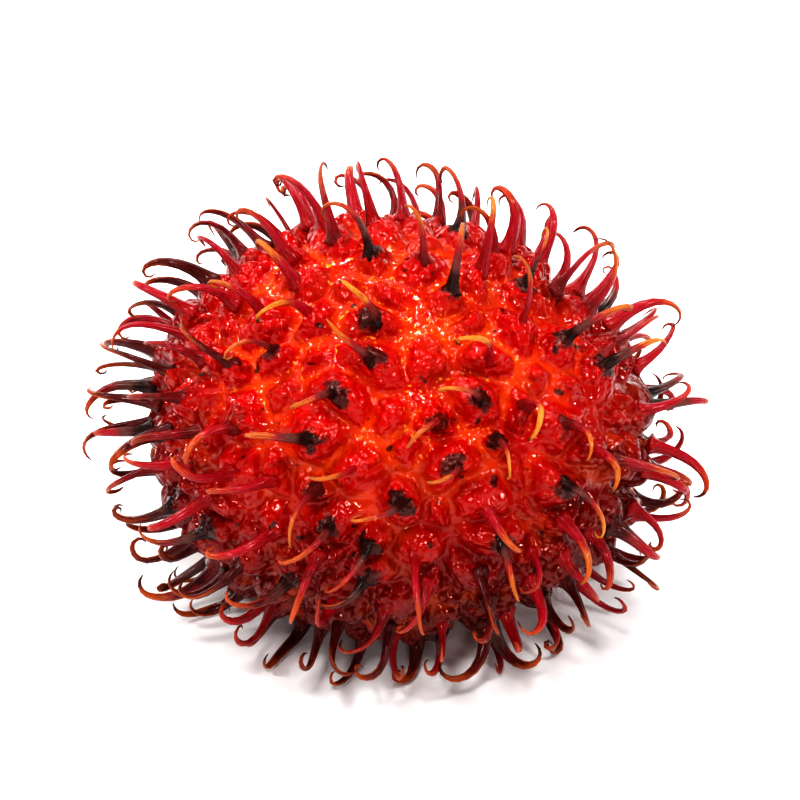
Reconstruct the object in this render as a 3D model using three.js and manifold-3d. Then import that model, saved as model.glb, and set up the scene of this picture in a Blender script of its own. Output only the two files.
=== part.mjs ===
// A whole rambutan lying on its side: an egg-shaped leathery rind covered with soft hooked spines.
// Rind and spines grew as one piece, so the fruit is one solid.
//
// The frame is in millimetres. X runs along the fruit's long axis, with the slimmer end at +X. Y runs
// across it, away from the viewer, and Z is up. The origin is the middle of the small flat spot
// that the fruit rests on.
import * as THREE from "three";
import { ConvexGeometry } from "three/addons/geometries/ConvexGeometry.js";
import { mergeVertices } from "three/addons/utils/BufferGeometryUtils.js";
import Module from "manifold-3d";

// The rind without its spines.
const RIND = {
  length: 49,
  depth: 41,
  height: 40.4,
  pressed: 1.0, // how much of the height is lost to the flat spot
  egg: 0.05, // how much slimmer than the middle the +X end is, as a share
  rimCorners: 8, // corners of the flat spot's outline
};

// The spines. Radii and lengths in millimetres, angles in degrees, and places along a spine as shares
// of its length, with 0 at its root on the rind and 1 at its tip.
const SPINE = {
  count: 236,
  length: 9.0,
  lengthSpread: 0.16, // greatest share by which a spine is longer or shorter than that
  rootDepth: 0.5, // how far the middle of the base lies inside the rind
  shaftRadius: 0.76,
  taper: 0.62, // power by which the shaft thins: under 1, it stays thick until near the tip
  footRadius: 1.0, // added to the shaft at the very root, where the spine spreads into its mound
  footLength: 0.1,
  lean: 14, // angle from the rind's normal at the root
  hook: 150, // angle from the rind's normal at the tip
  hookSpread: 45,
  curl: 2.2, // power by which the angle grows, so that the shaft is straight and the tip hooked
  twist: 50, // greatest turn of the bending plane about the rind's normal, root to tip
  scatter: 50, // greatest turn of a spine's bending direction away from its neighbours'
  sides: 4,
  rings: 5,
  steps: 30, // steps in which a centreline is summed
};

// How the spines are laid out over the rind, on the unit sphere that it is stretched from.
const LAYOUT = {
  jitter: 0.13,
  squash: 0.14, // share of flattening along the parting, which leaves the spines round it further apart
  spacing: 0.21,
  rounds: 4, // rounds of pushing apart those that stand closer than the spacing
  push: 0.35, // share of the missing distance by which one round moves each of them
  bareBelow: -0.88, // height under which the flat spot leaves no room for a spine
};

// Where the spines bend to. They part at one place on the rind and bend away from it, all of them are
// swept a little to one side, and those low on the fruit bend up from the surface that it rests on.
const FLOW = {
  parting: new THREE.Vector3(0.32, -0.56, 0.76).normalize(),
  sweep: new THREE.Vector3(-0.42, 0, -0.16),
  lift: new THREE.Vector3(0, 0, 1.7),
  liftFrom: 0.1, // how steeply the rind faces down where the lift begins, as the sine of the slope
  liftFull: 0.65, // and where it has taken over
};

// How the spines low on the fruit keep off the resting surface.
const FLOOR = {
  gap: 0.3, // height that a spine keeps above it
  thinFrom: 0.2, // share of the length below which the spreading foot doesn't raise the spine
  steepest: 0.95, // greatest sine of the slope of a spine that has to climb
};

const RIND_COLOUR = 0xc21408;

const centreHeight = RIND.height / 2 - RIND.pressed;
const radians = THREE.MathUtils.degToRad;

// A repeatable number from 0 to 1 for a spine and a purpose.
function chance(spine, purpose) {
  const wave = Math.sin(spine * 127.1 + purpose * 311.7) * 43758.5453;
  return wave - Math.floor(wave);
}

// The same, from -1 to 1.
function swing(spine, purpose) {
  return 2 * chance(spine, purpose) - 1;
}

// A unit direction taken to the rind's surface: an ellipsoid, slimmer towards +X.
function rindPoint(direction) {
  const girth = 1 - RIND.egg * direction.x;
  return new THREE.Vector3(
    (direction.x * RIND.length) / 2,
    (direction.y * girth * RIND.depth) / 2,
    (direction.z * girth * RIND.height) / 2 + centreHeight,
  );
}

// A point near the rind moved onto its surface, along the line to the rind's middle.
function onRind(point) {
  const direction = new THREE.Vector3(
    point.x / RIND.length,
    point.y / RIND.depth,
    (point.z - centreHeight) / RIND.height,
  );
  return rindPoint(direction.normalize());
}

// The rind's outward normal there, taken from the plain ellipsoid.
function rindNormal(direction) {
  return new THREE.Vector3(
    direction.x / RIND.length,
    direction.y / RIND.depth,
    direction.z / RIND.height,
  ).normalize();
}

// Unit directions of the spines: a golden-angle spiral along X, jittered, then evened out.
function spineDirections() {
  const goldenAngle = Math.PI * (3 - Math.sqrt(5));
  const directions = [];
  for (let i = 0; i < SPINE.count; i++) {
    const along = 1 - (2 * (i + 0.5)) / SPINE.count;
    const ring = Math.sqrt(1 - along * along);
    const turn = i * goldenAngle;
    const direction = new THREE.Vector3(
      along + LAYOUT.jitter * swing(i, 1),
      ring * Math.cos(turn) + LAYOUT.jitter * swing(i, 2),
      ring * Math.sin(turn) + LAYOUT.jitter * swing(i, 3),
    );
    direction.addScaledVector(FLOW.parting, -LAYOUT.squash * direction.dot(FLOW.parting));
    directions.push(direction.normalize());
  }
  for (let round = 0; round < LAYOUT.rounds; round++) {
    const pushes = directions.map(() => new THREE.Vector3());
    directions.forEach((a, i) =>
      directions.forEach((b, j) => {
        const gap = a.distanceTo(b);
        if (i !== j && gap < LAYOUT.spacing) {
          const push = a.clone().sub(b).divideScalar(gap);
          pushes[i].addScaledVector(push, LAYOUT.push * (LAYOUT.spacing - gap));
        }
      }),
    );
    directions.forEach((a, i) => a.add(pushes[i]).normalize());
  }
  return directions;
}

// The part of a vector that lies in the plane across a normal, made a unit long.
function flattened(vector, normal) {
  return vector
    .clone()
    .addScaledVector(normal, -vector.dot(normal))
    .normalize();
}

// The direction along the rind in which a spine bends.
function bendDirection(direction, normal, spine) {
  const lifted = THREE.MathUtils.smoothstep(-normal.z, FLOW.liftFrom, FLOW.liftFull);
  const flow = direction
    .clone()
    .addScaledVector(FLOW.parting, -direction.dot(FLOW.parting))
    .multiplyScalar(1 - lifted)
    .add(FLOW.sweep)
    .addScaledVector(FLOW.lift, lifted);
  const turn = radians(SPINE.scatter * swing(spine, 4));
  return flattened(flow, normal).applyAxisAngle(normal, turn);
}

// A spine's radius at a share of its length: a spreading foot, then a shaft that thins to a point.
function spineRadius(share) {
  const shaft = SPINE.shaftRadius * Math.pow(1 - share, SPINE.taper);
  return shaft + SPINE.footRadius * Math.exp(-share / SPINE.footLength);
}

// A spine's centreline as a list of {point, along, side}. It leaves the rind near its normal and turns
// more and more towards its bending direction. Where it would come too near the resting surface, it
// runs out along that surface, away from the fruit.
function centreline(direction, spine) {
  const normal = rindNormal(direction);
  const bend = bendDirection(direction, normal, spine);
  const length = SPINE.length * (1 + SPINE.lengthSpread * swing(spine, 5));
  const lean = radians(SPINE.lean * chance(spine, 6));
  const hook = radians(SPINE.hook + SPINE.hookSpread * swing(spine, 7));
  const twist = radians(SPINE.twist * swing(spine, 8));
  const step = length / SPINE.steps;
  const point = rindPoint(direction);
  const line = [];
  for (let i = 0; i <= SPINE.steps; i++) {
    const share = i / SPINE.steps;
    const angle = lean + (hook - lean) * Math.pow(share, SPINE.curl);
    const plane = bend.clone().applyAxisAngle(normal, twist * share);
    const along = normal
      .clone()
      .multiplyScalar(Math.cos(angle))
      .addScaledVector(plane, Math.sin(angle));
    const floor = FLOOR.gap + spineRadius(Math.max(share, FLOOR.thinFrom));
    const leastRise = (floor - point.z) / step;
    if (along.z < leastRise) {
      const outward = new THREE.Vector3(along.x + normal.x, along.y + normal.y, 0).normalize();
      const rise = THREE.MathUtils.clamp(leastRise, -FLOOR.steepest, FLOOR.steepest);
      along.copy(outward.multiplyScalar(Math.sqrt(1 - rise * rise))).setZ(rise);
    }
    const side = flattened(normal.clone().cross(plane), along);
    line.push({ point: point.clone(), along, side });
    point.addScaledVector(along, step);
  }
  return line;
}

// One spine: a cone bent so that its axis follows the centreline. Its lowest ring of corners lies on the
// rind, and the middle of its base is a little way inside.
function spineGeometry(direction, spine) {
  const line = centreline(direction, spine);
  const normal = rindNormal(direction);
  const geometry = new THREE.ConeGeometry(1, 1, SPINE.sides, SPINE.rings);
  const position = geometry.getAttribute("position");
  for (let i = 0; i < position.count; i++) {
    const share = position.getY(i) + 0.5;
    const { point, along, side } = line[Math.round(share * SPINE.steps)];
    const across = new THREE.Vector3().crossVectors(side, along);
    const sideways = side.clone().multiplyScalar(position.getX(i));
    sideways.addScaledVector(across, position.getZ(i));
    const onAxis = sideways.length() === 0;
    const placed = point.clone().addScaledVector(sideways.normalize(), spineRadius(share));
    if (share === 0) placed.copy(onRind(placed));
    if (share === 0 && onAxis) placed.addScaledVector(normal, -SPINE.rootDepth);
    position.setXYZ(i, placed.x, placed.y, placed.z);
  }
  return geometry;
}

// The corners of a spine's lowest ring.
function rootCorners(geometry) {
  const position = geometry.getAttribute("position");
  const first = (SPINE.sides + 1) * SPINE.rings;
  return Array.from({ length: SPINE.sides }, (_, corner) =>
    new THREE.Vector3().fromBufferAttribute(position, first + corner),
  );
}

// The flat spot's outline, where the rind's curve meets the resting surface.
function flatSpotRim() {
  const height = (-2 * centreHeight) / RIND.height;
  const ring = Math.sqrt(1 - height * height);
  return Array.from({ length: RIND.rimCorners }, (_, corner) => {
    const turn = (2 * Math.PI * corner) / RIND.rimCorners;
    return rindPoint(new THREE.Vector3(ring * Math.cos(turn), ring * Math.sin(turn), height)).setZ(0);
  });
}

const wasm = await Module();
wasm.setup();

// A closed geometry as a manifold-3d solid.
function solidOf(geometry) {
  geometry.deleteAttribute("normal");
  geometry.deleteAttribute("uv");
  const merged = mergeVertices(geometry, 1e-4);
  return new wasm.Manifold(
    new wasm.Mesh({
      numProp: 3,
      vertProperties: merged.getAttribute("position").array,
      triVerts: new Uint32Array(merged.index.array),
    }),
  );
}

// A manifold-3d solid as a geometry with flat-shaded facets.
function geometryOf(solid) {
  const mesh = solid.getMesh();
  const geometry = new THREE.BufferGeometry();
  geometry.setAttribute("position", new THREE.BufferAttribute(mesh.vertProperties, mesh.numProp));
  geometry.setIndex(new THREE.BufferAttribute(mesh.triVerts, 1));
  geometry.computeVertexNormals();
  return geometry;
}

// The whole fruit: the rind spans the roots of the spines and the flat spot, and every spine is joined
// to it.
function fruitGeometry() {
  const spines = [];
  spineDirections().forEach((direction, spine) => {
    if (direction.z > LAYOUT.bareBelow) spines.push(spineGeometry(direction, spine));
  });
  const rind = new ConvexGeometry([...flatSpotRim(), ...spines.flatMap(rootCorners)]);
  const fruit = spines.reduce((joined, spine) => joined.add(solidOf(spine)), solidOf(rind));
  return geometryOf(fruit);
}

const skin = new THREE.MeshStandardMaterial({
  color: RIND_COLOUR,
  roughness: 0.38,
  metalness: 0,
  flatShading: true,
});
const fruit = new THREE.Mesh(fruitGeometry(), skin);
fruit.name = "rambutan";

const rambutan = new THREE.Group();
rambutan.add(fruit);

export default rambutan;
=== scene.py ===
"""A whole rambutan on a pale floor: a moist, mounded red rind covered with soft hooked spines.

Everything is in metres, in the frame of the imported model: X along the fruit, Z up, and the origin in
the middle of the flat spot that it rests on.
"""

import math

import bpy
import numpy as np
from bpy.props import FloatProperty, FloatVectorProperty, IntProperty, PointerProperty
from mathutils import Matrix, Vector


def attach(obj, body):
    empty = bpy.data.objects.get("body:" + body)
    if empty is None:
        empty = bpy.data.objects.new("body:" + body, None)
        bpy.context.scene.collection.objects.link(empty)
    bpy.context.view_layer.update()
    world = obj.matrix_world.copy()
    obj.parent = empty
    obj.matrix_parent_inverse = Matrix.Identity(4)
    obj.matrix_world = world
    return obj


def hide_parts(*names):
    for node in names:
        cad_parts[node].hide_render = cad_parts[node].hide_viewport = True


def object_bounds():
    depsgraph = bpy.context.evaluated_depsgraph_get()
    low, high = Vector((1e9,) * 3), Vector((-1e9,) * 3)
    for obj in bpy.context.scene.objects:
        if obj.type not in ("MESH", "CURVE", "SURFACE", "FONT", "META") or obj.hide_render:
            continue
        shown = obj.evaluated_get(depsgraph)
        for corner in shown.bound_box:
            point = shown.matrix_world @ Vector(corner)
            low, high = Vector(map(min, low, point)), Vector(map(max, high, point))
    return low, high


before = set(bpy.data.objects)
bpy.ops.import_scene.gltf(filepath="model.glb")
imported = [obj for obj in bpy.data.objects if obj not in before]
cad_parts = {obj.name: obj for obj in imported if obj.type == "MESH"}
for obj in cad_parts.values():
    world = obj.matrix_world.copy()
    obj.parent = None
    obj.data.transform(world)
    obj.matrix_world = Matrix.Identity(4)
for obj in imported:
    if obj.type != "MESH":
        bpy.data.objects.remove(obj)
CAD_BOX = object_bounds()

bl_info = {
    "name": "Rambutan",
    "version": (1, 0, 0),
    "blender": (4, 5, 0),
    "location": "3D View > Sidebar > Rambutan",
    "description": "Builds a whole rambutan from its sizes and colours",
    "category": "Add Mesh",
}

NODE = "rambutan"
BODY = "root"
GOLDEN_ANGLE = math.pi * (3 - math.sqrt(5))
PHASE = 6.3  # greatest shift of a wave by chance, in radians: about a full turn

# How far along a spine its rings of corners stand, with 0 at the root and 1 at the tip
SPINE_SHARES = (0.0, 0.04, 0.09, 0.16, 0.26, 0.38, 0.5, 0.6, 0.68, 0.75, 0.81, 0.87, 0.92, 0.97)

# Each light's name, the direction that it comes from, its width in degrees, the setting that gives its
# strength and the share of that strength
LIGHTS = (
    ("key_light", (-0.32, 0.30, 0.90), 50, "key", 1.0),
    ("left_light", (-0.60, -0.15, 0.78), 10, "spark", 1.0),
    ("front_light", (-0.05, -0.48, 0.87), 10, "spark", 1.0),
    ("right_light", (0.50, -0.12, 0.86), 10, "spark", 1.0),
    ("back_light", (-0.05, 0.42, 0.90), 10, "spark", 1.0),
    ("low_front_light", (0.25, -0.85, 0.46), 6, "spark", 0.35),
    ("low_side_light", (0.85, 0.15, 0.46), 6, "spark", 0.35),
    ("low_rear_light", (-0.55, 0.70, 0.46), 6, "spark", 0.6),
)


def colour(name, description, default):
    """A colour setting."""
    return FloatVectorProperty(
        name=name, description=description, default=default, subtype="COLOR", size=3, min=0, max=1
    )


def length(name, description, default):
    """A length setting, in metres."""
    return FloatProperty(name=name, description=description, default=default, unit="LENGTH", precision=5)


def angle(name, description, default):
    """An angle setting, given here in degrees."""
    return FloatProperty(
        name=name, description=description, default=math.radians(default), subtype="ANGLE"
    )


def share(name, description, default):
    """A setting without a unit."""
    return FloatProperty(name=name, description=description, default=default)


class RindSettings(bpy.types.PropertyGroup):
    """Sizes and colours of the rind."""

    length: length("Length", "Long axis of the rind without its spines", 0.049)
    depth: length("Depth", "Width of the rind across the long axis", 0.041)
    height: length("Height", "Height of the rind before it is pressed flat underneath", 0.0404)
    pressed: length("Pressed", "Height lost to the flat spot", 0.001)
    egg: share("Egg", "How much slimmer than the middle the +X end is", 0.05)
    cuts: IntProperty(name="Cuts", description="Grid squares along each cube edge", default=124)
    mound: length("Mound", "Height of the mound under each spine", 0.0017)
    valley: length("Valley", "Width of each side of the valleys between the mounds", 0.0008)
    lobe: length("Lobe", "Height of the ridges that run down each mound", 0.00012)
    knob: length("Knob", "Height of the knobs that cover the mounds", 0.00024)
    pebble: length("Pebble", "Height of the fine pebbles of the skin", 0.0005)
    # Red and crimson are painted light and shade: red where the skin faces the side painted as lit,
    # crimson away from it.
    red: colour("Red", "Skin where the fruit is brightest", (0.40, 0.0025, 0.001))
    crimson: colour("Crimson", "Skin where the fruit is darkest", (0.115, 0.001, 0.0015))
    # The valleys' orange is the skin's own, but it is painted only on the lit side, so it is partly
    # painted light.
    orange: colour("Orange", "Skin in the bright valleys", (0.72, 0.09, 0.003))
    # The yellow flecks are painted glints in the valleys on the lit side.
    glint_yellow: colour("Yellow", "Flecks in the bright valleys", (1.0, 0.42, 0.05))
    # Amber thin skin is kept mostly to the painted shade, off the side painted as lit.
    amber: colour("Amber", "Thin skin on the shaded side", (0.40, 0.050, 0.003))
    scorch: colour("Scorch", "Dried skin and specks", (0.012, 0.004, 0.003))


class SpineSettings(bpy.types.PropertyGroup):
    """Number, shape and colours of the spines."""

    count: IntProperty(name="Count", description="Spines before the flat spot is cleared", default=236)
    length: length("Length", "Length along a spine's curve", 0.009)
    spread: share("Spread", "Greatest share by which a length differs", 0.16)
    radius: length("Radius", "Half of a shaft's width near its root", 0.00066)
    taper: share("Taper", "Power by which the shaft thins", 0.62)
    foot: length("Foot", "Extra radius at the root, where the spine spreads into its mound", 0.0005)
    foot_share: share("Foot share", "How far up the spine the foot reaches", 0.08)
    flat: share("Flatness", "Thickness of a spine over its width", 0.62)
    lean: angle("Lean", "Greatest angle from the rind's normal at the root", 14)
    hook: angle("Hook", "Angle from the rind's normal at the tip", 160)
    hook_spread: angle("Hook spread", "Greatest difference from that angle", 45)
    curl: share("Curl", "Power by which the angle grows towards the tip", 2.1)
    twist: angle("Twist", "Greatest turn of the bending plane along a spine", 50)
    scatter: angle("Scatter", "Greatest turn of a spine away from its neighbours", 50)
    tip_curl: angle("Tip curl", "Greatest extra curl in the last part of a spine", 200)
    wobble: angle("Wobble", "Size of the bends that a spine has along its way", 9)
    crimson: colour("Crimson", "Spines near the root", (0.29, 0.002, 0.007))
    magenta: colour("Magenta", "Spines along the shaft", (0.37, 0.008, 0.024))
    # Orange is also painted along the edges of the dark spines as a painted rim light.
    orange: colour("Orange", "Spines where they start to curl", (0.60, 0.13, 0.022))
    gold: colour("Gold", "The pale part of a central spine", (0.70, 0.29, 0.045))
    # Maroon is the colour of dry spines and also the painted shade of spines on the -X side and low
    # down.
    maroon: colour("Maroon", "Dried spines", (0.085, 0.006, 0.006))
    brown: colour("Brown", "The very tips", (0.035, 0.010, 0.005))
    black: colour("Black", "The dried foot of a spine", (0.012, 0.007, 0.005))
    grey: colour("Grey", "Dried skin above the foot", (0.12, 0.06, 0.05))


class StageSettings(bpy.types.PropertyGroup):
    """Floor, lights and camera."""

    floor: colour("Floor", "Colour of the floor", (0.92, 0.92, 0.92))
    azimuth: angle("Azimuth", "Camera's place round the fruit", 10)
    elevation: angle("Elevation", "Camera's height above the floor, as an angle", 37)
    distance: length("Distance", "Camera's distance from the fruit's middle", 0.45)
    lens: share("Lens", "Focal length in millimetres", 208)
    key: share("Key", "Strength of the large soft light", 0.55)
    spark: share("Spark", "Strength of each small light that makes glints", 0.85)
    sky: share("Sky", "Strength of the light from above", 0.3)
    wall: share("Wall", "Strength of the light from the studio's wall, low all round", 1.0)


class RambutanSettings(bpy.types.PropertyGroup):
    """All the settings of the fruit and its stage."""

    rind: PointerProperty(type=RindSettings)
    spines: PointerProperty(type=SpineSettings)
    stage: PointerProperty(type=StageSettings)


# Numbers by chance, and noise

SCATTER = 43758.5453  # so large a multiple of a sine that what is left after its point looks like chance
STEPS = np.array([127.1, 311.7, 74.7])  # how far the sine turns, in radians, for a step on each axis
PURPOSE_STEP = 53.3  # how far it turns from one purpose to the next


def scattered(turn):
    """What is left after the point of a large multiple of the turn's sine."""
    wave = np.sin(turn) * SCATTER
    return wave - np.floor(wave)


def chance(number, purpose):
    """A repeatable number from 0 to 1 for each number and purpose."""
    return scattered(number * STEPS[0] + purpose * STEPS[1])


def swing(number, purpose):
    """The same, from -1 to 1."""
    return 2 * chance(number, purpose) - 1


def corner_chance(corner, purpose):
    """A repeatable number from 0 to 1 for each corner of a lattice."""
    return scattered(corner @ STEPS + purpose * PURPOSE_STEP)


def smooth(value, low, high):
    """0 below low, 1 above high, and between them 3t^2 - 2t^3."""
    t = np.clip((value - low) / (high - low), 0, 1)
    return t * t * (3 - 2 * t)


def soft_noise(place, purpose):
    """Smooth noise from -1 to 1: the chances at a lattice cell's eight corners, blended by a cubic."""
    base = np.floor(place)
    blend = smooth(place - base, 0, 1)
    total = np.zeros(len(place))
    for corner in np.ndindex(2, 2, 2):
        weight = np.prod(np.where(corner, blend, 1 - blend), axis=1)
        total += weight * corner_chance(base + corner, purpose)
    return 2 * total - 1


def knobs(place, purpose):
    """Round knobs, one in each lattice cell at a place and of a size by chance: the highest of the
    nearby domes, each 1 - (distance / size)^2 times its size."""
    least, more = 0.5, 0.45
    base = np.floor(place)
    best = np.zeros(len(place))
    for corner in np.ndindex(3, 3, 3):
        cell = base + corner - 1.0
        centre = cell + np.stack([corner_chance(cell, purpose + axis) for axis in range(3)], axis=1)
        size = least + more * corner_chance(cell, purpose + 3)
        gap = np.linalg.norm(place - centre, axis=1) / size
        best = np.maximum(best, size * (1 - gap * gap))
    return best


# The rind's plain shape, and the layout of the spines on it


def unit(vectors):
    """Vectors made a unit long."""
    return vectors / np.linalg.norm(vectors, axis=-1, keepdims=True)


def across(vectors, normals):
    """The part of each vector in the plane across its normal, made a unit long."""
    return unit(vectors - normals * np.sum(vectors * normals, axis=-1, keepdims=True))


UP = np.array([0.0, 0.0, 1.0])
PARTING = unit(np.array([0.32, -0.56, 0.76]))  # the place that the spines bend away from
SWEEP = np.array([-0.42, 0.0, -0.16])  # the way in which all of them are swept a little
LIFT = 1.7 * UP  # how strongly those low on the fruit bend upwards
# The rind's colour is painted lighter towards this side, as painted light, and darker away from it, as
# painted shade.
PAINTED_LIT_SIDE = unit(np.array([-0.07, -0.39, 0.92]))  # the side where the rind is brightest


def rind_points(directions, rind):
    """Unit directions taken to an ellipsoid whose girth shrinks evenly towards +X, its middle at half
    its height less the pressed part."""
    girth = 1 - rind.egg * directions[:, :1]
    axes = np.array([rind.length, rind.depth, rind.height]) / 2
    points = directions * axes * np.concatenate([np.ones_like(girth), girth, girth], axis=1)
    return points + UP * (rind.height / 2 - rind.pressed)


def rind_normals(directions, rind):
    """The plain ellipsoid's outward normals: each direction divided by the axes."""
    return unit(directions / np.array([rind.length, rind.depth, rind.height]))


def spine_layout(spines):
    """The spines' numbers and unit directions: a golden-angle spiral along X, shaken and squashed along
    the parting, then four rounds in which any two nearer than the spacing push each other apart. The
    flat spot is left bare."""
    spacing, push_share, rounds, shake, squash, bare_below = 0.21, 0.35, 4, 0.13, 0.14, -0.88
    number = np.arange(spines.count)
    along = 1 - (2 * number + 1) / spines.count
    ring, turn = np.sqrt(1 - along**2), number * GOLDEN_ANGLE
    spiral = np.stack([along, ring * np.cos(turn), ring * np.sin(turn)], axis=1)
    directions = spiral + shake * swing(number[:, None], np.array([1, 2, 3]))
    directions = unit(directions - squash * PARTING * (directions @ PARTING)[:, None])
    for _ in range(rounds):
        apart = directions[:, None] - directions[None]
        gap = np.linalg.norm(apart, axis=2)
        np.fill_diagonal(gap, np.inf)
        push = push_share * np.clip(spacing - gap, 0, None) / gap
        directions = unit(directions + np.sum(apart * push[..., None], axis=1))
    kept = directions[:, 2] > bare_below
    return number[kept], directions[kept]


def spine_bends(number, directions, normals, spines):
    """The direction along the rind in which each spine bends: away from the parting and swept to one
    side, or upwards where the rind faces down, then turned about the normal by chance."""
    lift_from, lift_full = 0.1, 0.65
    lifted = smooth(-normals[:, 2:], lift_from, lift_full)
    flow = directions - PARTING * (directions @ PARTING)[:, None]
    bend = across(flow * (1 - lifted) + SWEEP + LIFT * lifted, normals)
    turn = spines.scatter * swing(number, 4)[:, None]
    return bend * np.cos(turn) + np.cross(normals, bend) * np.sin(turn)


def spine_radius(along, spines):
    """The shaft's radius times a power of the length that is left, plus the foot's, which falls off as
    the exponential of the length gone."""
    shaft = spines.radius * (1 - along) ** spines.taper
    return shaft + spines.foot * np.exp(-along / spines.foot_share)


def spine_lines(number, directions, rind, spines):
    """The spines' centrelines at SPINE_SHARES and their tips: points, the way they run, and a sideways
    direction. Each leaves the rind near its normal, and its angle grows towards the hook's by a power of
    the length gone, with a wobble and a curled tip added. Near the floor it runs out along the floor."""
    steps, tip_from, wave_rate, side_wave = 100, 0.72, 7, 1.5
    gap, thin_from, steepest = 0.0003, 0.2, 0.95
    normals = rind_normals(directions, rind)
    bends = spine_bends(number, directions, normals, spines)
    lengths = spines.length * (1 + spines.spread * swing(number, 5))
    lean = spines.lean * chance(number, 6)
    hook = spines.hook + spines.hook_spread * swing(number, 7)
    twist = spines.twist * swing(number, 8)
    tip = spines.tip_curl * chance(number, 9)
    step = (lengths / steps)[:, None]
    point = rind_points(directions, rind)
    wanted = [round(steps * part) for part in (*SPINE_SHARES, 1.0)]
    line = []
    for i in range(steps + 1):
        along = i / steps
        wave = spines.wobble * along * np.sin(wave_rate * along + PHASE * chance(number, 10))
        curled = tip * smooth(along, tip_from, 1)
        lean_now = lean + (hook - lean) * along**spines.curl + curled + wave
        turn = (twist * along + side_wave * wave)[:, None]
        plane = bends * np.cos(turn) + np.cross(normals, bends) * np.sin(turn)
        run = normals * np.cos(lean_now)[:, None] + plane * np.sin(lean_now)[:, None]
        floor = gap + spine_radius(max(along, thin_from), spines)
        rise = (floor - point[:, 2:]) / step
        outward = unit((run + normals) * np.array([1, 1, 0]))
        climb = np.clip(rise, -steepest, steepest)
        low = outward * np.sqrt(1 - climb**2) + UP * climb
        run = np.where(run[:, 2:] < rise, low, run)
        if i in wanted:
            line.append((point, run, across(np.cross(normals, plane), run)))
        point = point + run * step
    return tuple(np.stack(part, axis=1) for part in zip(*line))


# Meshes


def make_piece(name, points, faces, layers, material):
    """A smooth mesh object of these points and faces, with a point attribute for each layer."""
    mesh = bpy.data.meshes.new(name)
    mesh.from_pydata(points.tolist(), [], [face.tolist() for face in faces])
    for layer, values in layers.items():
        vector = values.ndim == 2
        kind = "FLOAT_VECTOR" if vector else "FLOAT"
        attribute = mesh.attributes.new(layer, kind, "POINT")
        attribute.data.foreach_set("vector" if vector else "value", values.astype(np.float32).ravel())
    mesh.polygons.foreach_set("use_smooth", np.ones(len(mesh.polygons), dtype=bool))
    mesh.materials.append(material)
    mesh.update()
    piece = bpy.data.objects.new(name, mesh)
    bpy.context.scene.collection.objects.link(piece)
    return piece


def cube_ball(cuts):
    """Unit directions and squares of a cube blown up to a ball, its six grids welded along their edges.
    Lines of a grid lie at equal angles: each is the tangent of -45 to 45 degrees."""
    same_digits = 6
    line = np.tan(np.linspace(-math.pi / 4, math.pi / 4, cuts + 1))
    u, v = (grid.ravel() for grid in np.meshgrid(line, line, indexing="ij"))
    one = np.ones_like(u)
    sides = [(one, u, v), (-one, v, u), (v, one, u), (u, -one, v), (u, v, one), (v, u, -one)]
    directions = unit(np.concatenate([np.stack(side, axis=1) for side in sides]))
    corner = np.arange((cuts + 1) ** 2).reshape(cuts + 1, cuts + 1)
    square = np.stack([corner[:-1, :-1], corner[1:, :-1], corner[1:, 1:], corner[:-1, 1:]], axis=-1)
    squares = np.concatenate([square.reshape(-1, 4) + side * corner.size for side in range(6)])
    _, first, weld = np.unique(
        np.round(directions, same_digits), axis=0, return_index=True, return_inverse=True
    )
    return directions[first], weld.reshape(-1)[squares]


def bare_layout(roots, rind):
    """Unit directions of the bare mounds: from a fine golden-angle spiral, those that are further from
    every root than a gap, and further than any other of them nearby."""
    gap, apart, count = 0.0034, 0.003, 1600
    along = 1 - (2 * np.arange(count) + 1) / count
    ring, turn = np.sqrt(1 - along**2), np.arange(count) * GOLDEN_ANGLE
    directions = np.stack([along, ring * np.cos(turn), ring * np.sin(turn)], axis=1)
    points = rind_points(directions, rind)
    empty = np.sqrt(np.min(square_gaps(points, roots), axis=1))
    rivals = np.where(square_gaps(points, points) < apart**2, empty, 0)
    return directions[(empty > gap) & (empty >= np.max(rivals, axis=1))]


def square_gaps(points, others):
    """The squared distance from each point to each of the others."""
    lengths = np.sum(points**2, axis=1)[:, None] + np.sum(others**2, axis=1)
    return np.maximum(lengths - 2 * points @ others.T, 0)


def nearest_mounds(points, tops, bonus):
    """For each point, the mound it is on, its distance from the top, and its distance from the edge.
    The mound is the one with the least squared distance less its bonus, and the edge is where the next
    one has the same: half the difference of the two over the distance between their tops."""
    squares = square_gaps(points, tops) - bonus
    two = np.argpartition(squares, 2, axis=1)[:, :2]
    pair = np.take_along_axis(squares, two, axis=1)
    order = np.argsort(pair, axis=1)
    two, pair = np.take_along_axis(two, order, axis=1), np.take_along_axis(pair, order, axis=1)
    between = np.linalg.norm(tops[two[:, 0]] - tops[two[:, 1]], axis=1)
    near = np.linalg.norm(points - tops[two[:, 0]], axis=1)
    return two[:, 0], near, (pair[:, 1] - pair[:, 0]) / (2 * between)


def warped(points):
    """The points moved by coarse and fine noise, so that the mounds have uneven outlines."""
    coarse, coarse_size, fine, fine_size = 0.0009, 0.0045, 0.0004, 0.0015
    moves = [
        coarse * soft_noise(points / coarse_size, axis) + fine * soft_noise(points / fine_size, axis + 3)
        for axis in (1, 2, 3)
    ]
    return points + np.stack(moves, axis=1)


def ridges(offset, near, mound, normal):
    """Ridges that run down each mound from its top: a cosine of the turn about the mound's normal, with
    6 to 10 waves, that fades out at the top."""
    fewest, more, fade_from, fade_to = 6, 4, 0.0004, 0.0016
    ahead = across(UP + 0.01, normal)
    turn = np.arctan2(
        np.sum(offset * np.cross(normal, ahead), axis=1), np.sum(offset * ahead, axis=1)
    )
    waves = np.round(fewest + more * chance(mound, 12))
    return np.cos(waves * turn + PHASE * chance(mound, 13)) * smooth(near, fade_from, fade_to)


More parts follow.
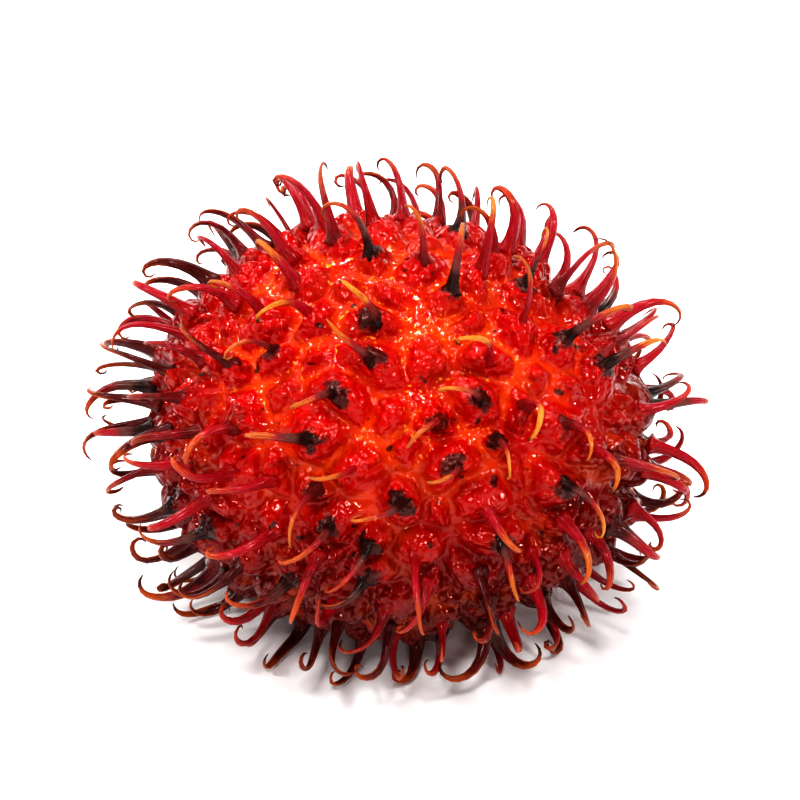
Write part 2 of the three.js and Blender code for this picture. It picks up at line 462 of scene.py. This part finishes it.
def rind_surface(rind, spines):
    """The rind's points, squares and layers. Every spine stands on a mound, and there is a small bare
    one in each gap between them. A mound is a pillow, 1 - exp(-(distance from its edge / width)^2), with
    a dome on it, 1 - (distance from its top / reach)^2, a raised top, ridges down its sides and knobs
    all over. The heights are added along the ellipsoid's normal, and the underside is pressed flat. The
    layers say how each point lies on its mound, how dry the foot there is, and how far the point faces
    the side towards which the skin's colour is painted lighter, as painted light."""
    bonus_spread, bare_bonus = 5e-6, -6e-6
    valley_spread, valley_size = 0.35, 0.005
    reach, reach_spread, bare_reach, bare_dome = 0.0031, 0.0005, 0.0019, 0.65
    rim, dome_power, plain_relief = 0.3, 0.8, 0.78
    peak_height, peak_width, top_from, top_full = 0.0004, 0.0010, 0.0034, 0.0012
    large_knob, large_size, small_knob, small_size = 0.6, 0.0014, 0.4, 0.00075
    knob_low, knob_pillow, knob_top = 0.35, 0.25, 0.5
    swell, swell_size, millimetres = 0.0004, 0.006, 1000

    directions, squares = cube_ball(rind.cuts)
    plain, normals = rind_points(directions, rind), rind_normals(directions, rind)
    number, root_directions = spine_layout(spines)
    roots = rind_points(root_directions, rind)
    top_directions = np.concatenate([root_directions, bare_layout(roots, rind)])
    tops, top_normals = rind_points(top_directions, rind), rind_normals(top_directions, rind)
    index = np.arange(len(tops))
    spined = index < len(roots)
    bonus = np.where(spined, bonus_spread * swing(index, 11), bare_bonus)
    bent = warped(plain)
    mound, near, edge = nearest_mounds(bent, tops, bonus)
    on_spined = spined[mound]

    width = rind.valley * (1 + valley_spread * soft_noise(plain / valley_size, 8))
    pillow = 1 - np.exp(-((np.maximum(edge, 0) / width) ** 2))
    reaches = np.where(on_spined, reach + reach_spread * swing(mound, 15), bare_reach)
    dome = np.clip(1 - (near / reaches) ** 2, 0, 1) * np.where(on_spined, 1, bare_dome)
    relief = pillow * (rim + (1 - rim) * dome**dome_power)
    peak = on_spined * np.exp(-((near / peak_width) ** 2))
    lobe = ridges(bent - tops[mound], near, mound, top_normals[mound])
    knob = large_knob * knobs(plain / large_size, 10) + small_knob * knobs(plain / small_size, 20)
    high = smooth(near, top_from, top_full)
    height = (
        rind.mound * (relief - plain_relief)
        + peak_height * peak
        + rind.lobe * lobe * pillow
        + rind.knob * knob * (knob_low + knob_pillow * pillow + knob_top * high)
        + swell * soft_noise(plain / swell_size, 4)
    )
    points = plain + normals * height[:, None]
    points[:, 2] = np.maximum(points[:, 2], 0)
    foot = np.concatenate([spine_traits(number, root_directions, rind)["foot"], np.zeros(len(tops))])
    layers = {
        "relief": relief,
        "near": near * millimetres,
        "high": high,
        "knob": knob,
        "tone": chance(mound, 14),
        "foot": foot[mound],
        # How far each point faces the side painted as lit, for the painted light and shade of the skin.
        "painted_lit_side": directions @ PAINTED_LIT_SIDE,
    }
    return points, squares, layers


def spine_traits(number, directions, rind):
    """How each spine has aged, and how far painted shade darkens it, from 0 to 1 each. Central is how
    near it is to the parting; foot, how far its foot has gone dry and black, mostly near the parting;
    then how dark the whole of it is, partly dry spines by chance and partly painted shade on the -X side
    and low down; golden, how orange or gold it turns on its way."""
    parting_from, parting_full, side_from, side_full, low_from, low_full = 0.4, 0.8, 0.1, 0.8, -0.2, 0.4
    least_foot, rare_foot = 0.1, 0.75
    some_dried, side_shade, low_shade, central_dried, dried_spread = 0.14, 0.42, 0.42, 0.25, 0.4
    some_golden, central_golden, low_golden, golden_spread = 0.65, 0.15, 0.1, 0.4
    normals = rind_normals(directions, rind)
    central = smooth(directions @ PARTING, parting_from, parting_full)
    side = smooth(-normals[:, 0], side_from, side_full)
    low = smooth(-normals[:, 2], low_from, low_full)
    foot = central * (least_foot + chance(number, 20)) + smooth(chance(number, 21), rare_foot, 1)
    # Painted shade: spines on the -X side and low down are painted darker; the share by chance is dry
    # spines.
    dried_and_shaded = some_dried + side_shade * side + low_shade * low - central_dried * central
    golden = some_golden + central_golden * central - low_golden * low
    traits = {
        "central": central,
        "foot": foot,
        "dried_and_shaded": dried_and_shaded + dried_spread * swing(number, 22),
        "golden": golden + golden_spread * swing(number, 23),
    }
    return {name: np.clip(values, 0, 1) for name, values in traits.items()}


def spine_surface(rind, spines):
    """The spines' points, faces and layers. Every spine is a ring of six corners carried along its
    centreline, with a pole at each end, the lower one inside the rind. The ring rolls a little on its
    way. It is round and slightly three-cornered at the root, and flattens above it."""
    sides, root_depth, screw, width_spread, slimmer = 6, 0.0008, 0.9, 0.14, 0.2
    round_until, star_height, star_reach = 0.12, 0.12, 0.07
    number, directions = spine_layout(spines)
    centre, run, side = spine_lines(number, directions, rind, spines)
    traits = {"tone": chance(number, 24), **spine_traits(number, directions, rind)}
    count, rings = len(number), len(SPINE_SHARES)
    along = np.array(SPINE_SHARES)
    third = np.cross(side, run)
    roll = (math.pi * swing(number, 15))[:, None] + screw * swing(number, 16)[:, None] * along
    roll = np.concatenate([roll, roll[:, -1:]], axis=1)[..., None]
    side, third = (
        side * np.cos(roll) + third * np.sin(roll),
        third * np.cos(roll) - side * np.sin(roll),
    )
    slim = (1 - slimmer * traits["central"]) * (1 + width_spread * swing(number, 17))
    width = spine_radius(along, spines) * slim[:, None]
    thick = width * (spines.flat + (1 - spines.flat) * np.exp(-along / round_until))
    around = np.arange(sides) * 2 * math.pi / sides
    star = 1 + star_height * np.exp(-along / star_reach)[:, None] * np.cos(3 * around)
    ring = (
        centre[:, :rings, None]
        + side[:, :rings, None] * (width[..., None] * star * np.cos(around))[..., None]
        + third[:, :rings, None] * (thick[..., None] * star * np.sin(around))[..., None]
    )
    inside = centre[:, 0] - root_depth * rind_normals(directions, rind)
    points = np.concatenate(
        [ring.reshape(count, -1, 3), inside[:, None], centre[:, -1:]], axis=1
    )

    corner = np.arange(rings * sides).reshape(rings, sides)
    ahead = np.roll(corner, -1, axis=1)
    quads = np.stack([corner[:-1], corner[1:], ahead[1:], ahead[:-1]], axis=-1).reshape(-1, 4)
    low, high = rings * sides, rings * sides + 1
    caps = np.concatenate(
        [
            np.stack([corner[0], ahead[0], np.full(sides, low)], axis=-1),
            np.stack([ahead[-1], corner[-1], np.full(sides, high)], axis=-1),
        ]
    )
    start = (np.arange(count) * points.shape[1])[:, None, None]
    faces = [*(quads + start).reshape(-1, 4), *(caps + start).reshape(-1, 3)]

    def per_point(of_ring, of_low, of_high):
        """Values at the rings' corners and at the two poles, in the order of the points."""
        body = np.broadcast_to(of_ring, (count, rings, sides)).reshape(count, -1)
        ends = [np.broadcast_to(end, (count,))[:, None] for end in (of_low, of_high)]
        return np.concatenate([body, *ends], axis=1).ravel()

    grain = np.stack(
        [
            per_point(np.cos(around), 0, 0),
            per_point(np.sin(around), 0, 0),
            per_point(along[None, :, None] + number[:, None, None], number, number + 1.0),
        ],
        axis=1,
    )
    layers = {
        "along": per_point(along[None, :, None], 0, 1),
        # The edge layer marks the flat spines' edges, where the painted rim light goes.
        "edge": per_point(np.abs(np.cos(around)), 1, 1),
        "grain": grain,
    }
    for trait, values in traits.items():
        layers[trait] = per_point(values[:, None, None], values, values)
    return points.reshape(-1, 3), faces, layers


# Materials


class Wire:
    """A shader's output socket. An expression on it adds the Math nodes that work it out."""

    def __init__(self, shader, socket):
        self.shader, self.socket = shader, socket

    def combine(self, operation, first, second):
        """A Math node on two wires or numbers."""
        return self.shader.node("ShaderNodeMath", {"operation": operation}, {0: first, 1: second})

    def __add__(self, other):
        return self.combine("ADD", self, other)

    def __sub__(self, other):
        return self.combine("SUBTRACT", self, other)

    def __rsub__(self, other):
        return self.combine("SUBTRACT", other, self)

    def __mul__(self, other):
        return self.combine("MULTIPLY", self, other)

    __radd__, __rmul__ = __add__, __mul__


class Shader:
    """The nodes of a material or of the world."""

    def __init__(self, owner):
        owner.use_nodes = True
        self.owner, self.tree = owner, owner.node_tree
        self.tree.nodes.clear()

    def node(self, kind, settings, sockets, output=0):
        """A new node of this type, its settings set first and then its sockets' values or links, and
        one of its outputs as a wire."""
        node = self.tree.nodes.new(kind)
        for key, value in settings.items():
            setattr(node, key, value)
        for key, value in sockets.items():
            if isinstance(value, Wire):
                self.tree.links.new(value.socket, node.inputs[key])
            else:
                node.inputs[key].default_value = value
        return Wire(self, node.outputs[output]) if len(node.outputs) else node

    def layer(self, name, output="Fac"):
        """A layer of the mesh."""
        return self.node("ShaderNodeAttribute", {"attribute_name": name}, {}, output)

    def between(self, value, low, high):
        """0 below low, 1 above high, smooth between."""
        return self.node(
            "ShaderNodeMapRange",
            {"interpolation_type": "SMOOTHSTEP"},
            {"Value": value, "From Min": low, "From Max": high},
        )

    def uneven(self, value, noise, amount):
        """The value with an amount of noise added, counted up and down from the noise's middle."""
        return value + amount * (noise - 0.5)

    def mix(self, factor, first, second):
        """The second colour over the first, as far as the factor says."""
        sockets = {0: factor, 6: first, 7: second}
        sockets = {k: (*v, 1) if isinstance(v, tuple) else v for k, v in sockets.items()}
        return self.node("ShaderNodeMix", {"data_type": "RGBA"}, sockets, 2)

    def noise(self, place, scale, detail):
        """Noise of this many waves per metre, with finer noise on it for each step of detail."""
        sockets = {"Vector": place, "Scale": scale, "Detail": detail}
        return self.node("ShaderNodeTexNoise", {}, sockets, "Fac")

    def place(self):
        """The place on the fruit, in metres."""
        return self.node("ShaderNodeTexCoord", {}, {}, "Object")

    def bump(self, height, strength, depth, under=None):
        """A bump of this height map, its full height a depth in metres."""
        sockets = {"Height": height, "Strength": strength, "Distance": depth}
        if under:
            sockets["Normal"] = under
        return self.node("ShaderNodeBump", {}, sockets)

    def finish(self, sockets):
        """The skin's shader with these sockets, joined to the output, and the material handed back."""
        skin = self.node("ShaderNodeBsdfPrincipled", {}, sockets)
        self.node("ShaderNodeOutputMaterial", {}, {"Surface": skin})
        return self.owner


def rind_skin(rind):
    """Moist skin: red mounds painted lighter on one side as painted light and crimson away from it as
    painted shade, orange valleys and yellowish painted glints on that side, amber patches, dry black
    skin round some of the roots, and specks."""
    # How much of the skin each colour covers at most
    crimson_cover, valley_cover, amber_cover, knob_highlight_cover = 0.4, 0.85, 0.7, 0.12
    collar_cover, speck_cover, amber_lost = 0.92, 0.85, 0.6

    s = Shader(bpy.data.materials.new("rind_skin"))
    place = s.place()
    relief, near, high = s.layer("relief"), s.layer("near"), s.layer("high")
    knob, tone, foot, painted_lit_side = s.layer("knob"), s.layer("tone"), s.layer("foot"), s.layer("painted_lit_side")
    red, crimson, orange = tuple(rind.red), tuple(rind.crimson), tuple(rind.orange)
    broad = s.noise(place, scale=110, detail=2)
    patches = s.noise(place, scale=230, detail=2)
    fine = s.noise(place, scale=900, detail=3)
    tiny = s.noise(place, scale=2400, detail=2)
    pebbles = 1 - s.node(
        "ShaderNodeTexVoronoi",
        {"feature": "SMOOTH_F1"},
        {"Vector": place, "Scale": 1100, "Smoothness": 0.35, "Randomness": 1.0},
    )

    # Painted light and shade: skin facing the lit side is painted red, the rest crimson, with random
    # darker mounds only in that painted shade.
    painted_light = s.between(s.uneven(painted_lit_side, broad, 0.6), low=-0.2, high=0.85)
    skin = s.mix(painted_light, crimson, red)
    skin = s.mix(crimson_cover * tone * (1 - painted_light), skin, crimson)
    # Orange valleys, the skin's own colour, painted only on the lit side: partly painted light.
    valley = s.between(s.uneven(relief, fine, 0.4), low=0.3, high=0.0)
    valley = valley * s.between(patches, low=0.35, high=0.65)
    skin = s.mix(valley_cover * valley * s.between(painted_lit_side, low=0.3, high=0.95), skin, orange)
    # Painted glints: yellow flecks in the valleys on the lit side.
    painted_glint = s.between(tiny + 0.4 * fine, low=0.82, high=0.93) * s.between(painted_lit_side, low=0.6, high=1.0)
    skin = s.mix(painted_glint * s.between(relief, low=0.35, high=0.1), skin, tuple(rind.glint_yellow))
    # Amber patches of thin skin, kept mostly to the painted shade, off the painted light.
    thin = s.between(s.noise(place, scale=150, detail=1), low=0.48, high=0.66)
    thin = thin * s.between(relief, low=0.9, high=0.3)
    skin = s.mix(amber_cover * thin * (1 - amber_lost * painted_light), skin, tuple(rind.amber))
    # Painted highlight: orange on the knobs' tops on the lit side.
    skin = s.mix(s.between(knob, low=0.4, high=0.9) * knob_highlight_cover * painted_light, skin, orange)

    ragged = s.uneven(near, s.noise(place, scale=1300, detail=2), 1.6)
    collar = s.between(ragged, low=1.45, high=0.9) * s.between(foot, low=0.25, high=0.7)
    speck = s.between(s.noise(place, scale=640, detail=1), low=0.7, high=0.74)
    dry = 1 - (1 - collar_cover * collar) * (1 - speck_cover * speck)
    skin = s.mix(dry, skin, tuple(rind.scorch))

    rough = 0.35 + 0.65 * s.between(s.uneven(high, patches, 1.2), low=0.0, high=0.8)
    grain = s.bump(pebbles, strength=rough, depth=rind.pebble)
    grain = s.bump(fine, strength=0.4, depth=0.0002, under=grain)
    return s.finish(
        {
            "Base Color": skin,
            "Roughness": 0.04 + 0.08 * fine + 0.25 * dry,
            "IOR": 1.56,
            "Specular Tint": (1.0, 0.55, 0.5, 1),
            "Subsurface Weight": 0.2,
            "Subsurface Radius": (1.0, 0.15, 0.06),
            "Subsurface Scale": 0.0012,
            "Normal": grain,
        }
    )


def spine_skin(spines):
    """Spine skin: crimson at the root and magenta along the shaft, with gold above that on the central
    spines. Spines darkened to maroon, partly dry by chance and partly painted shade on the -X side and
    low down, carry a painted rim light of orange along their edges. All turn orange where they curl and
    brown at the tip. A dry foot is black, with grey skin above it."""
    # How much of the skin each colour covers at most, and how far chance shifts the bands
    rim_light_cover, curl_cover, grey_cover, black_cover, brown_cover = 0.7, 0.9, 0.85, 0.95, 0.85
    shift = 0.16

    s = Shader(bpy.data.materials.new("spine_skin"))
    along, edge, tone = s.layer("along"), s.layer("edge"), s.layer("tone")
    central, foot = s.layer("central"), s.layer("foot")
    dried_and_shaded, golden = s.layer("dried_and_shaded"), s.layer("golden")
    grain = s.layer("grain", "Vector")
    stretched = s.node(
        "ShaderNodeVectorMath", {"operation": "MULTIPLY"}, {0: grain, 1: (1.5, 1.5, 4.0)}
    )
    streak = s.noise(stretched, scale=1.6, detail=3)
    blotch = s.noise(s.place(), scale=900, detail=2)

    way = s.uneven(s.uneven(along, tone, shift), blotch, shift)
    skin = s.mix(s.between(way, low=0.08, high=0.35), tuple(spines.crimson), tuple(spines.magenta))
    pale = s.between(s.uneven(way, streak, 0.5), low=0.38, high=0.68) * central * golden
    skin = s.mix(pale, skin, tuple(spines.gold))
    # Painted rim light: orange along the edges of the dark spines, whose maroon is partly painted shade.
    rim = s.between(s.uneven(edge, streak, 0.6), low=0.5, high=1.0)
    rim = rim * s.between(way, low=0.3, high=0.6)
    dark_with_rim_light = s.mix(rim_light_cover * rim, tuple(spines.maroon), tuple(spines.orange))
    skin = s.mix(s.between(s.uneven(dried_and_shaded, blotch, 0.5), low=0.3, high=0.7), skin, dark_with_rim_light)
    curl = s.between(s.uneven(way, streak, 0.3), low=0.52, high=0.8) * golden * (1 - pale)
    skin = s.mix(curl_cover * curl, skin, tuple(spines.orange))
    shaft = s.between(way, low=0.48, high=0.3) * s.between(foot, low=0.3, high=0.8)
    skin = s.mix(grey_cover * shaft, skin, tuple(spines.grey))
    root = s.between(way, low=0.26, high=0.14) * s.between(foot, low=0.25, high=0.7)
    skin = s.mix(black_cover * root, skin, tuple(spines.black))
    skin = s.mix(brown_cover * s.between(way, low=0.88, high=0.97), skin, tuple(spines.brown))
    ridged = s.bump(streak, strength=1.0, depth=0.0005)
    return s.finish(
        {
            "Base Color": skin,
            "Roughness": 0.16 + 0.22 * streak,
            "IOR": 1.4,
            "Specular Tint": (1.0, 0.5, 0.45, 1),
            "Subsurface Weight": 0.15,
            "Subsurface Radius": (1.0, 0.15, 0.06),
            "Subsurface Scale": 0.0008,
            "Coat Weight": 0.25,
            "Coat Roughness": 0.12,
            "Normal": ridged,
        }
    )


def floor_paint(stage):
    """The floor's plain matt paint."""
    s = Shader(bpy.data.materials.new("floor_paint"))
    return s.finish({"Base Color": (*stage.floor, 1), "Roughness": 0.6, "Specular IOR Level": 0.2})


# Operators, panel and main


class RAMBUTAN_OT_rind(bpy.types.Operator):
    """Add the rind"""

    bl_idname = "rambutan.rind"
    bl_label = "Add rind"

    def execute(self, context):
        settings = context.scene.rambutan
        points, squares, layers = rind_surface(settings.rind, settings.spines)
        piece = make_piece("rind", points, squares, layers, rind_skin(settings.rind))
        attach(piece, BODY)
        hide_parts(NODE)
        return {"FINISHED"}


class RAMBUTAN_OT_spines(bpy.types.Operator):
    """Add the spines"""

    bl_idname = "rambutan.spines"
    bl_label = "Add spines"

    def execute(self, context):
        settings = context.scene.rambutan
        points, faces, layers = spine_surface(settings.rind, settings.spines)
        piece = make_piece("spines", points, faces, layers, spine_skin(settings.spines))
        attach(piece, BODY)
        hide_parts(NODE)
        return {"FINISHED"}


class RAMBUTAN_OT_stage(bpy.types.Operator):
    """Add the floor, the lights and the camera"""

    bl_idname = "rambutan.stage"
    bl_label = "Add stage"

    def execute(self, context):
        floor_half, wall_from, wall_full = 3.0, 0.2, 0.05
        scene, stage = context.scene, context.scene.rambutan.stage
        corners = floor_half * np.array([(-1.0, -1, 0), (1, -1, 0), (1, 1, 0), (-1, 1, 0)])
        floor = make_piece("floor", corners, [np.arange(4)], {}, floor_paint(stage))

        middle = np.array([0.0, 0.0, (CAD_BOX[0][2] + CAD_BOX[1][2]) / 2])
        for name, direction, width, setting, part in LIGHTS:
            data = bpy.data.lights.new(name, "SUN")
            data.angle, data.energy = math.radians(width), part * getattr(stage, setting)
            aim(name, data, np.array(direction), middle)

        az, el = stage.azimuth, stage.elevation
        away = np.array(
            [math.sin(az) * math.cos(el), -math.cos(az) * math.cos(el), math.sin(el)]
        )
        data = bpy.data.cameras.new("camera")
        data.lens, data.clip_start, data.clip_end = stage.lens, 0.01, 20
        scene.camera = aim("camera", data, middle + away * stage.distance, middle)

        world = bpy.data.worlds.new("studio")
        s = Shader(world)
        way = s.node("ShaderNodeTexCoord", {}, {}, "Generated")
        height = s.node("ShaderNodeSeparateXYZ", {}, {0: way}, "Z")
        wall = s.between(height, wall_from, wall_full)
        light = {"Color": (1, 1, 1, 1), "Strength": stage.sky + (stage.wall - stage.sky) * wall}
        s.node("ShaderNodeOutputWorld", {}, {"Surface": s.node("ShaderNodeBackground", {}, light)})
        scene.world = world
        scene.view_settings.view_transform = "Standard"
        scene.view_settings.look = "Very High Contrast"
        return {"FINISHED"}


def aim(name, data, place, target):
    """An object at a place, its -Z turned to a target."""
    item = bpy.data.objects.new(name, data)
    bpy.context.scene.collection.objects.link(item)
    back = unit(place - target)
    right = unit(np.cross(UP, back))
    rows = np.stack([right, np.cross(back, right), back, place], axis=1)
    item.matrix_world = Matrix([*rows.tolist(), (0, 0, 0, 1)])
    return item


class RAMBUTAN_PT_panel(bpy.types.Panel):
    """The rambutan's settings and pieces"""

    bl_label = "Rambutan"
    bl_space_type = "VIEW_3D"
    bl_region_type = "UI"
    bl_category = "Rambutan"

    def draw(self, context):
        """Every setting in a box for its group, then a button for each operator."""
        settings = context.scene.rambutan
        for group in (settings.rind, settings.spines, settings.stage):
            box = self.layout.box()
            for key in group.__annotations__:
                box.prop(group, key)
        for operator in (RAMBUTAN_OT_rind, RAMBUTAN_OT_spines, RAMBUTAN_OT_stage):
            self.layout.operator(operator.bl_idname)


CLASSES = (
    RindSettings,
    SpineSettings,
    StageSettings,
    RambutanSettings,
    RAMBUTAN_OT_rind,
    RAMBUTAN_OT_spines,
    RAMBUTAN_OT_stage,
    RAMBUTAN_PT_panel,
)


def register():
    """Register the classes, and hang the settings on the scene."""
    for item in CLASSES:
        bpy.utils.register_class(item)
    bpy.types.Scene.rambutan = PointerProperty(type=RambutanSettings)


def unregister():
    """Take the settings and the classes away again."""
    del bpy.types.Scene.rambutan
    for item in reversed(CLASSES):
        bpy.utils.unregister_class(item)


def main():
    """Build the fruit and its stage."""
    register()
    bpy.ops.rambutan.rind()
    bpy.ops.rambutan.spines()
    bpy.ops.rambutan.stage()


if __name__ == "__main__":
    main()
